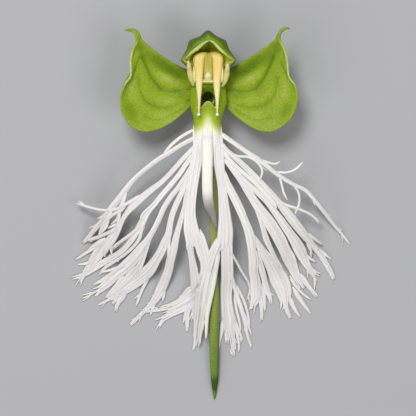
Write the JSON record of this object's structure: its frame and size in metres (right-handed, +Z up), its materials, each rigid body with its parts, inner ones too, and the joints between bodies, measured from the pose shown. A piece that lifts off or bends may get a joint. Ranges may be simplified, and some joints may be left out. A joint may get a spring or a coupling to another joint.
{
  "type": "picked orchid flower with fringed lip",
  "caption": "Single picked orchid flower with green sepals, hooded column, white deeply fringed lip and long green spur, lying face up.",
  "frame": {"origin": "on the surface, under the middle of the flower's bounding box", "axes": "+Z up out of the flower's face, +Y towards its hood, +X to the right as seen from above"},
  "size_m": [0.031, 0.041, 0.0074],
  "materials": {
    "hood_green": "satin, waxy",
    "petal_green": "satin, waxy, paler at the rim",
    "sepal_green": "satin, waxy, finely grained",
    "column_cream": "satin",
    "pollen_yellow": "satin",
    "viscidium_white": "wet gloss",
    "auricle_cream": "satin, warty",
    "lip_white": "soft, slightly translucent",
    "spur_green": "satin, translucent",
    "ovary_green": "satin"
  },
  "bodies": {
    "root": {"dorsal_sepal": "hood_green", "petal_left": "petal_green", "petal_right": "petal_green", "lateral_sepal_left": "sepal_green", "lateral_sepal_right": "sepal_green", "column": "column_cream", "anther_left": "pollen_yellow", "anther_right": "pollen_yellow", "viscidium_left": "viscidium_white", "viscidium_right": "viscidium_white", "auricle_left": "auricle_cream", "auricle_right": "auricle_cream", "lip": "lip_white", "spur": "spur_green", "ovary": "ovary_green"}
  },
  "joints": []
}
